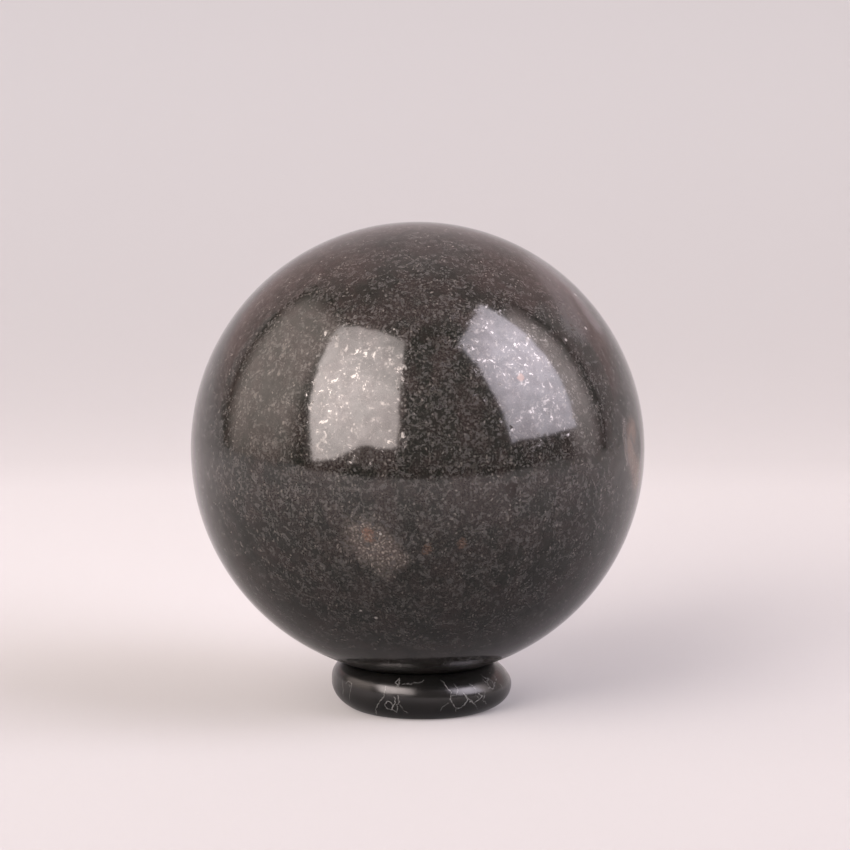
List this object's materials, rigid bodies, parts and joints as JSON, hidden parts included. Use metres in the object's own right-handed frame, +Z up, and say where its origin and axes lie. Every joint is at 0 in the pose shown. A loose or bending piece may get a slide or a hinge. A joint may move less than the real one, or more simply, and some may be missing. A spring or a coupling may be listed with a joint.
{
  "type": "decorative sphere",
  "caption": "Polished dark stone ball resting on a small black veined stone ring stand, an ornament for a shelf, desk or table.",
  "frame": {"origin": "middle of the ring stand's foot, on the surface it stands on", "axes": "+Z up through the middle of the seat and the sphere; -Y is the front; +X is the side on which the stand's hand-cut wall is fuller"},
  "size_m": [0.08, 0.08, 0.0861],
  "materials": {
    "sphere_stone": "polished dark charcoal stone full of fine silvery mica flecks",
    "ring_stone": "polished black stone with fine pale veins"
  },
  "bodies": {
    "root": {"sphere": "sphere_stone", "ring_stand": "ring_stone"}
  },
  "joints": []
}
